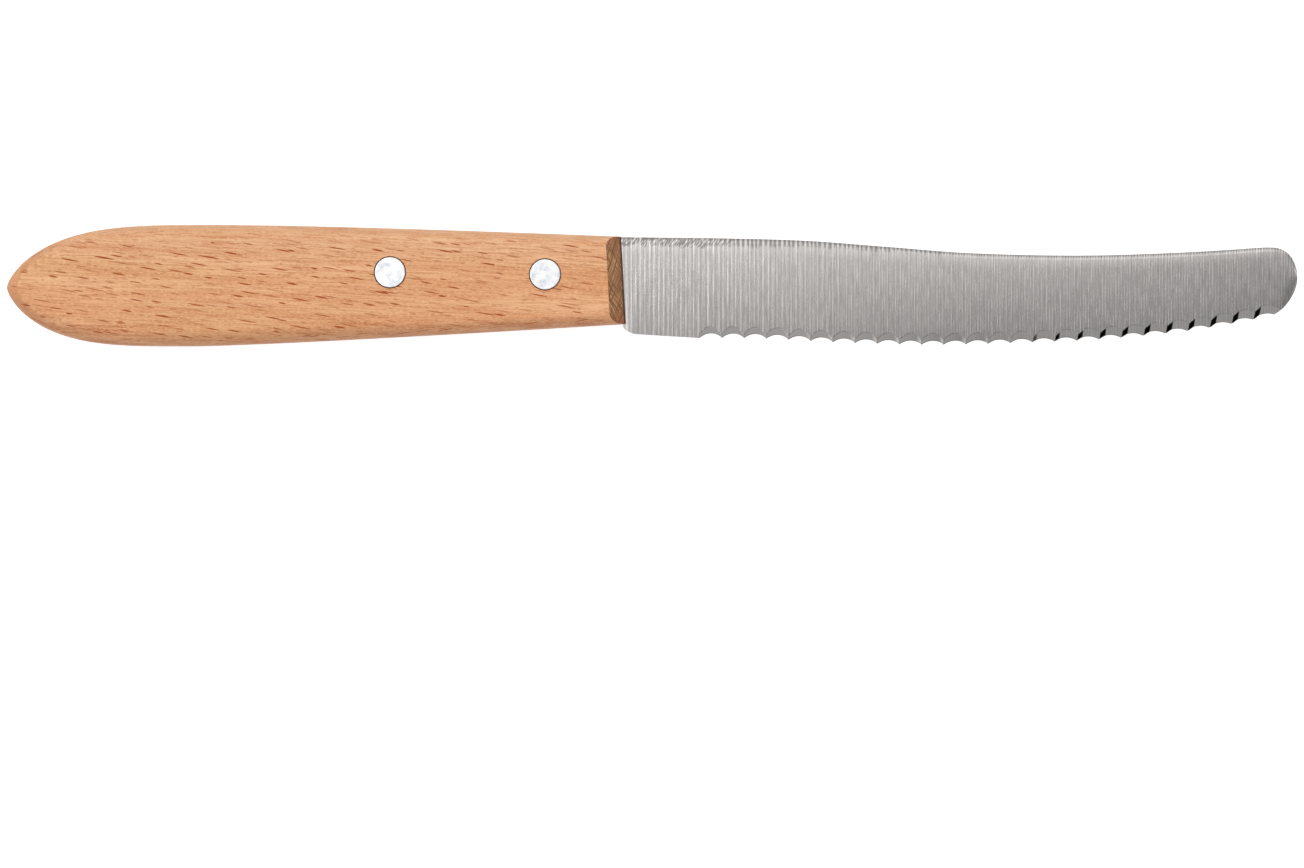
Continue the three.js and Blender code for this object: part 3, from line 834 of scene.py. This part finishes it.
def spindles(n, along, flecks):
    """Short spindles along x in a flat pattern, of chance length, height and depth of colour."""
    cells = n.scaled(along, (*flecks.cell, 1))
    spots = n.add("ShaderNodeTexVoronoi", voronoi_dimensions="2D")
    spots.inputs["Scale"].default_value = 1.0
    n.link(cells, spots.inputs["Vector"])
    offset = n.add("ShaderNodeVectorMath", operation="SUBTRACT")
    n.link(cells, offset.inputs[0])
    n.link(spots.outputs["Position"], offset.inputs[1])
    away_x, away_y, _ = n.axes(offset.outputs[0])
    chance = n.add("ShaderNodeSeparateColor")
    n.link(spots.outputs["Color"], chance.inputs[0])
    chance_length, chance_height, chance_depth = chance.outputs

    length = n.product(n.blend(chance_length, SHORTEST_FLECK, 1.0), flecks.longest)
    height = n.product(n.blend(chance_height, THINNEST_FLECK, 1.0), flecks.thickest)
    ends = n.math("POWER", n.math("ABSOLUTE", n.math("DIVIDE", away_x, length)), FLECK_POINT)
    sides = n.math("ABSOLUTE", n.math("DIVIDE", away_y, height))
    inside = n.math("SUBTRACT", n.rest_of(ends), sides)
    return n.product(n.change(inside, FLECK_RIM), n.change(chance_depth, FLECK_DEPTH))


# End grain: changes with the distance from the middle of the front end and from the blade's middle plane
SAW_MARKS = Noise(size=(3, 0.26, 7), detail=2, roughness=0.5, between=(0.4, 0.56))
SAW_MARK_ANGLES_DEG = (40, -50)
END_DARK = srgb(138, 94, 60)
END_LIGHT = srgb(206, 156, 110)
END_REDDENS = Change(between=(4.5, 7), values=(0, 0.45))
END_RED = srgb(158, 92, 60)
# Painted shadow of the gap beside the blade, with dirt in it: the end grain darkens near the blade's
# middle plane
JOINT_SHADE = Change(between=(1.6, 1.1), values=(0, 0.85))
GAP_DIRT_AND_SHADE_DARK = srgb(60, 42, 30)


def end_grain(n, place):
    """Cut-off fibres on the front bevels, with crossing saw marks and, beside the blade, a dark joint of
    dirt and painted shadow of the slot's gap.
    """
    marks = [n.pattern(n.tipped(place, angle), SAW_MARKS) for angle in SAW_MARK_ANGLES_DEG]
    colour = n.mix(n.product(*marks), END_DARK, END_LIGHT)
    _, y, z = n.axes(place)
    from_middle = n.math("ABSOLUTE", n.math("SUBTRACT", y, FRONT_MIDDLE + ROW_SHIFT.y))
    colour = n.mix(n.change(from_middle, END_REDDENS), colour, END_RED)
    # dirt and painted shadow of the gap beside the blade
    from_blade = n.math("ABSOLUTE", n.math("SUBTRACT", z, CHEEK))
    return n.mix(n.change(from_blade, JOINT_SHADE), colour, GAP_DIRT_AND_SHADE_DARK)


# Ground steel: noises along the blade, up it and through it
BOLD_PITCH = 0.78
CLOSE_PITCH = 0.47
WANDER = Noise(size=(5, 300, 300), detail=2, roughness=0.5)
WANDER_TURNS = 2.0
BREAKS = Noise(size=(1.1, 5, 30), detail=2, roughness=0.6, between=(0.32, 0.62), values=(0.3, 1.0))
CLOSE_BREAKS = Noise(size=(0.7, 2.4, 30), detail=2, roughness=0.6, between=(0.36, 0.66), values=(0.1, 1.0))
FINE_LINES = Noise(size=(0.16, 4, 40), detail=3, roughness=0.6, between=(0.3, 0.7), soft=False)
GRIT = Noise(size=(0.14, 0.5, 1), detail=2, roughness=0.6)
BOLD_CREST = Change(between=(0.1, 1.0))
CLOSE_CREST = Change(between=(-0.2, 1.0))
FINE_WEIGHT = 0.3
GRIT_WEIGHT = 0.4
SPINE_MARK_WEIGHT = 0.44
STEEL_TONES = Change(between=(-0.1, 1.0), soft=False)
STEEL_DARK = srgb(132, 129, 127)
STEEL_LIGHT = srgb(226, 222, 220)
STEEL_ROUGHNESS = Change(between=(0, 1), values=(0.24, 0.05), soft=False)  # from the faces to the hollows
HOLLOW_TONE = 0.76
CLOSE_RELIEF = 0.5
FINE_RELIEF = 0.4
STEEL_BUMP = Bump(strength=0.2, height=0.02)

# Changes along the knife, in millimetres from its middle
OUT_OF_HANDLE = Change(between=(ROW_SHIFT.x - 1.5, ROW_SHIFT.x - 0.5))
BOLD_WEIGHT = Change(between=(8, 40), values=(0.5, 0.1))
CLOSE_WEIGHT = Change(between=(-5, 70), values=(0.16, 0.32))
HOLLOWS_SMOOTH = Change(between=(35, 60), values=(1.0, 0.45))


def line_wave(n, x, pitch, wander):
    """A sine of the given pitch along the blade, pushed to and fro by the wander."""
    turns = n.total(n.math("DIVIDE", x, pitch), wander)
    return n.math("SINE", n.product(turns, 2 * math.pi))


def ground_steel():
    n = Nodes(bpy.data.materials.new("ground_steel"))
    place = n.place()
    x, _, _ = n.axes(place)
    hollow = n.attribute("ground")

    # Grinding lines run across the blade: bold near the handle, closer and fainter to the tip.
    wander = n.product(n.noise(place, WANDER), WANDER_TURNS)
    outside = n.change(x, OUT_OF_HANDLE)
    wave = line_wave(n, x, BOLD_PITCH, wander)
    breaks = n.product(n.pattern(place, BREAKS), outside)
    bold = n.product(n.change(wave, BOLD_CREST), breaks)
    close_wave = line_wave(n, x, CLOSE_PITCH, wander)
    close = n.product(n.change(close_wave, CLOSE_CREST), n.pattern(place, CLOSE_BREAKS))
    fine = n.pattern(place, FINE_LINES)
    tone = n.total(
        n.product(bold, n.change(x, BOLD_WEIGHT)),
        n.product(close, n.change(x, CLOSE_WEIGHT)),
        n.product(fine, FINE_WEIGHT),
        n.product(n.noise(place, GRIT), GRIT_WEIGHT),
        n.product(spine_marks(n, place, wave, close_wave, breaks), outside, SPINE_MARK_WEIGHT),
    )

    # The ground hollows are smooth near the handle and carry fainter lines to the tip.
    smooth_share = n.product(hollow, n.change(x, HOLLOWS_SMOOTH))
    tone = n.blend(smooth_share, tone, HOLLOW_TONE)
    colour = n.mix(n.change(tone, STEEL_TONES), STEEL_DARK, STEEL_LIGHT)
    n.link(colour, n.shader.inputs["Base Color"])
    n.shader.inputs["Metallic"].default_value = 1.0
    n.link(n.change(hollow, STEEL_ROUGHNESS), n.shader.inputs["Roughness"])
    relief = n.total(n.product(close, CLOSE_RELIEF), n.product(fine, FINE_RELIEF))
    n.emboss(n.product(relief, n.rest_of(hollow)), STEEL_BUMP)
    return n.owner


# Marks on the spine's corner
HATCH = Noise(size=(0.24, 1.2, 6), detail=1, roughness=0.5, between=(0.42, 0.6), values=(-1.8, 0.0))
HATCH_SLANT_DEG = 35
HATCH_ENDS = Change(between=(16.5, 11.5))
NOTCHES_CLOSE_UP = Change(between=(45, 55))
NOTCH_CREST = Change(between=(-0.6, 0.6))
NOTCH_BREAKS = Change(between=(0.3, 1.0), values=(0.8, 1.0), soft=False)
NOTCH_DEPTH = 1.15
MARK_LENGTH = Change(between=(11.5, 55), values=(1.7, 0.65), soft=False)
BROKEN_MARK_LENGTH = Change(between=(0.3, 1.0), values=(1.15, 0.9), soft=False)
MARK_FOOT = Change(between=(-0.1, 0.75))


def spine_marks(n, place, wave, close_wave, breaks):
    """The lines end in dark notches on the spine's corner, and near the handle in a slanting hatch."""
    x, _, _ = n.axes(place)
    hatch = n.pattern(n.turned(place, HATCH_SLANT_DEG), HATCH)
    notch_wave = n.blend(n.change(x, NOTCHES_CLOSE_UP), wave, close_wave)
    crest = n.product(n.change(notch_wave, NOTCH_CREST), n.change(breaks, NOTCH_BREAKS))
    notch = n.math("SUBTRACT", crest, NOTCH_DEPTH)
    marks = n.blend(n.change(x, HATCH_ENDS), notch, hatch)
    length = n.product(n.change(x, MARK_LENGTH), n.change(breaks, BROKEN_MARK_LENGTH))
    inside = n.change(n.math("SUBTRACT", length, n.attribute("below_spine")), MARK_FOOT)
    return n.product(marks, inside)


# Satin aluminium
MOTTLE = Noise(size=(1.4, 1.4, 1.4), detail=6, roughness=0.75, between=(0.45, 0.68))
MOTTLE_ROUGHNESS = Change(between=(0.3, 0.7), values=(0.3, 0.42))
ALUMINIUM_LIGHT = srgb(238, 239, 240)
ALUMINIUM_DARK = srgb(206, 211, 219)
ALUMINIUM_BUMP = Bump(strength=0.15, height=0.03)


def satin_aluminium():
    n = Nodes(bpy.data.materials.new("satin_aluminium"))
    mottle = n.noise(n.place(), MOTTLE)
    colour = n.mix(n.change(mottle, MOTTLE), ALUMINIUM_LIGHT, ALUMINIUM_DARK)
    n.link(colour, n.shader.inputs["Base Color"])
    n.shader.inputs["Metallic"].default_value = 1.0
    n.link(n.change(mottle, MOTTLE_ROUGHNESS), n.shader.inputs["Roughness"])
    n.emboss(mottle, ALUMINIUM_BUMP)
    return n.owner


# Pieces of the object

def place_piece(piece, node, material):
    piece.data.materials.clear()
    piece.data.materials.append(material)
    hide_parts(node)
    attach(piece, "root")


wood = beech()
steel = ground_steel()
aluminium = satin_aluminium()
place_piece(make_handle(), "handle", wood)
place_piece(make_blade(), "blade", steel)
for node, piece in make_rivets().items():
    place_piece(piece, node, aluminium)

# Stage and camera: sizes in metres
FLOOR_HALF = 4.0
FLOOR_Z = -0.0001
FLOOR_GREY = 0.6
FLOOR_ROUGHNESS = 0.9
FLOOR_GLOW = 0.75  # brings the floor up to white where it is seen or mirrored
CAMERA_DISTANCE = 1.0
CAMERA_CLIP_START = 0.01
SENSOR_WIDTH = 36
PHOTO_WIDTH = 1304
PHOTO_HEIGHT = 868
KNIFE_PIXELS = 1289.2
KNIFE_CENTRE_COLUMN = 652.7
KNIFE_CENTRE_ROW = 285.8
PIXEL = (HANDLE_LENGTH + BLADE_LENGTH) / KNIFE_PIXELS * MM

# Light of the studio: levels that change with the direction, as parts of a unit vector
KEY_TO_SHADE = Change(between=(-0.06, 0.115), values=(1.85, 0.11))
SHADE_EAST = 0.8  # parts of the direction that the shade lies in
SHADE_SOUTH = 0.6
EAST_GLOW = Change(between=(0.16, 0.36), values=(0, 0.42))
HORIZON_DIMS = Change(between=(0.1, 0.75), values=(0.5, 1))
NORTH_DIMS = Change(between=(0.1, 0.5), values=(1, 0.62))
SOUTH_SIDE = Change(between=(-0.22, -0.36))
SOUTH_LEVEL = 0.5
LOW_FILL_HEIGHT = Change(between=(0.66, 0.54))
LOW_FILL = Change(between=(0.4, 0.8), values=(0, 0.9))
CARD_SLANT = 0.48
CARD_SIDE = Change(between=(0.135, 0.15))
CARD_SOUTH = Change(between=(-0.4, -0.42), values=(0, 0.995))
CARD_FOOT = Change(between=(0.34, 0.4))


def paper():
    n = Nodes(bpy.data.materials.new("paper"))
    n.shader.inputs["Base Color"].default_value = (FLOOR_GREY, FLOOR_GREY, FLOOR_GREY, 1)
    n.shader.inputs["Roughness"].default_value = FLOOR_ROUGHNESS
    n.shader.inputs["Specular IOR Level"].default_value = 0.0
    rays = n.add("ShaderNodeLightPath").outputs
    seen = n.math("MAXIMUM", rays["Is Camera Ray"], rays["Is Glossy Ray"])
    seen = n.math("MAXIMUM", seen, rays["Is Transmission Ray"])
    glow = n.add("ShaderNodeEmission")
    n.link(n.product(seen, FLOOR_GLOW), glow.inputs["Strength"])
    both = n.add("ShaderNodeAddShader")
    n.link(n.shader.outputs[0], both.inputs[0])
    n.link(glow.outputs[0], both.inputs[1])
    n.link(both.outputs[0], n.tree.nodes["Material Output"].inputs["Surface"])
    return n.owner


def make_floor():
    corners = [(x * FLOOR_HALF, y * FLOOR_HALF, FLOOR_Z) for x, y in ((-1, -1), (1, -1), (1, 1), (-1, 1))]
    mesh = bpy.data.meshes.new("floor")
    mesh.from_pydata(corners, [], [(0, 1, 2, 3)])
    mesh.materials.append(paper())
    floor = bpy.data.objects.new("floor", mesh)
    bpy.context.scene.collection.objects.link(floor)
    return floor


def light_studio():
    """A bright north-west, a shaded south-east with a dark card in it, and an even south."""
    n = Nodes(bpy.data.worlds.new("studio"))
    bpy.context.scene.world = n.owner
    east, north, up = n.axes(n.add("ShaderNodeTexCoord").outputs["Generated"])
    to_shade = n.math("SUBTRACT", n.product(east, SHADE_EAST), n.product(north, SHADE_SOUTH))
    level = n.total(n.change(to_shade, KEY_TO_SHADE), n.change(east, EAST_GLOW))
    level = n.product(level, n.change(up, HORIZON_DIMS), n.change(north, NORTH_DIMS))
    level = n.blend(n.change(north, SOUTH_SIDE), level, SOUTH_LEVEL)
    level = n.total(level, n.product(n.change(up, LOW_FILL_HEIGHT), n.change(east, LOW_FILL)))
    card_side = n.change(n.total(east, n.product(north, CARD_SLANT)), CARD_SIDE)
    card = n.product(card_side, n.change(north, CARD_SOUTH), n.change(up, CARD_FOOT))
    level = n.product(level, n.rest_of(card))
    seen = n.add("ShaderNodeLightPath").outputs["Is Camera Ray"]
    background = n.tree.nodes["Background"]
    background.inputs["Color"].default_value = (1, 1, 1, 1)
    n.link(n.blend(seen, level, 1.0), background.inputs["Strength"])


def make_camera():
    """Straight above, with the knife where the photo has it."""
    data = bpy.data.cameras.new("camera")
    data.sensor_fit = "HORIZONTAL"
    data.sensor_width = SENSOR_WIDTH
    data.lens = SENSOR_WIDTH * CAMERA_DISTANCE / (PHOTO_WIDTH * PIXEL)
    data.clip_start = CAMERA_CLIP_START
    camera = bpy.data.objects.new("camera", data)
    right = (PHOTO_WIDTH / 2 - KNIFE_CENTRE_COLUMN) * PIXEL
    back = (KNIFE_CENTRE_ROW - PHOTO_HEIGHT / 2) * PIXEL
    camera.location = (right, back, CHEEK * MM + CAMERA_DISTANCE)
    bpy.context.scene.collection.objects.link(camera)
    return camera


floor = make_floor()
light_studio()
bpy.context.scene.camera = make_camera()
bpy.context.scene.view_settings.view_transform = "Standard"
